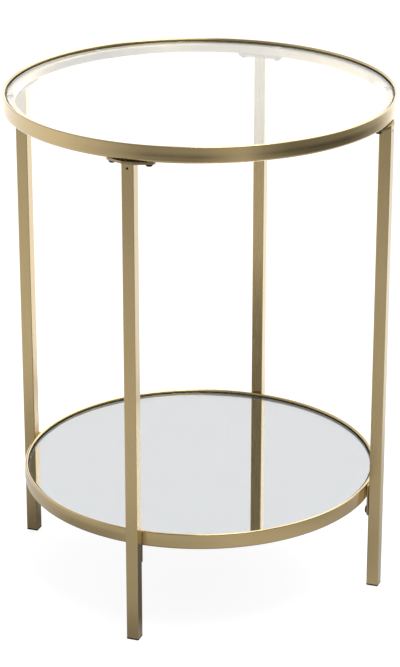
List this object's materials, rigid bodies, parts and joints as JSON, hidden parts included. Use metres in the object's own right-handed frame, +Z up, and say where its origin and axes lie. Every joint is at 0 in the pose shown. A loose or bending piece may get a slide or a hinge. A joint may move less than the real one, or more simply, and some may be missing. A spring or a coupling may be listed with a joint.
{
  "type": "tiered side table",
  "caption": "Round side table in satin champagne metal with a clear glass top, a smaller mirror shelf below it and slim square legs outside both rings.",
  "frame": {"origin": "on the floor, under the middle of the table", "axes": "+Z up along the table's middle line; +X through the right leg, +Y through the back leg, -X through the left leg and -Y through the front leg"},
  "size_m": [0.485, 0.485, 0.63],
  "materials": {
    "frame_metal": "satin",
    "clear_glass": "polished",
    "silvered_mirror": "polished",
    "pad_rubber": "satin",
    "plug_plastic": "matte",
    "zinc_steel": "satin",
    "black_screw": "satin"
  },
  "bodies": {
    "frame": {"top_ring": "frame_metal", "top_glass_pads": "pad_rubber", "shelf_ring": "frame_metal", "shelf_mirror_pads": "pad_rubber", "leg_right": "frame_metal", "leg_back": "frame_metal", "leg_left": "frame_metal", "leg_front": "frame_metal", "leg_plate_right": "frame_metal", "leg_plate_back": "frame_metal", "leg_plate_left": "frame_metal", "leg_plate_front": "frame_metal", "shelf_tab_right": "frame_metal", "shelf_tab_back": "frame_metal", "shelf_tab_left": "frame_metal", "shelf_tab_front": "frame_metal", "foot_plug_right": "plug_plastic", "foot_plug_back": "plug_plastic", "foot_plug_left": "plug_plastic", "foot_plug_front": "plug_plastic", "top_rivet_nuts": "zinc_steel", "top_screws": "black_screw", "shelf_rivet_nuts": "zinc_steel", "shelf_screws": "black_screw"},
    "top_glass": {"top_glass": "clear_glass"},
    "shelf_mirror": {"shelf_mirror": "silvered_mirror"}
  },
  "joints": [
    {"name": "top_glass_lift", "type": "slide", "parent": "frame", "child": "top_glass", "axis": [0, 0, 1], "range_m": [0, 0.06]},
    {"name": "shelf_mirror_lift", "type": "slide", "parent": "frame", "child": "shelf_mirror", "axis": [0, 0, 1], "range_m": [0, 0.06]}
  ]
}
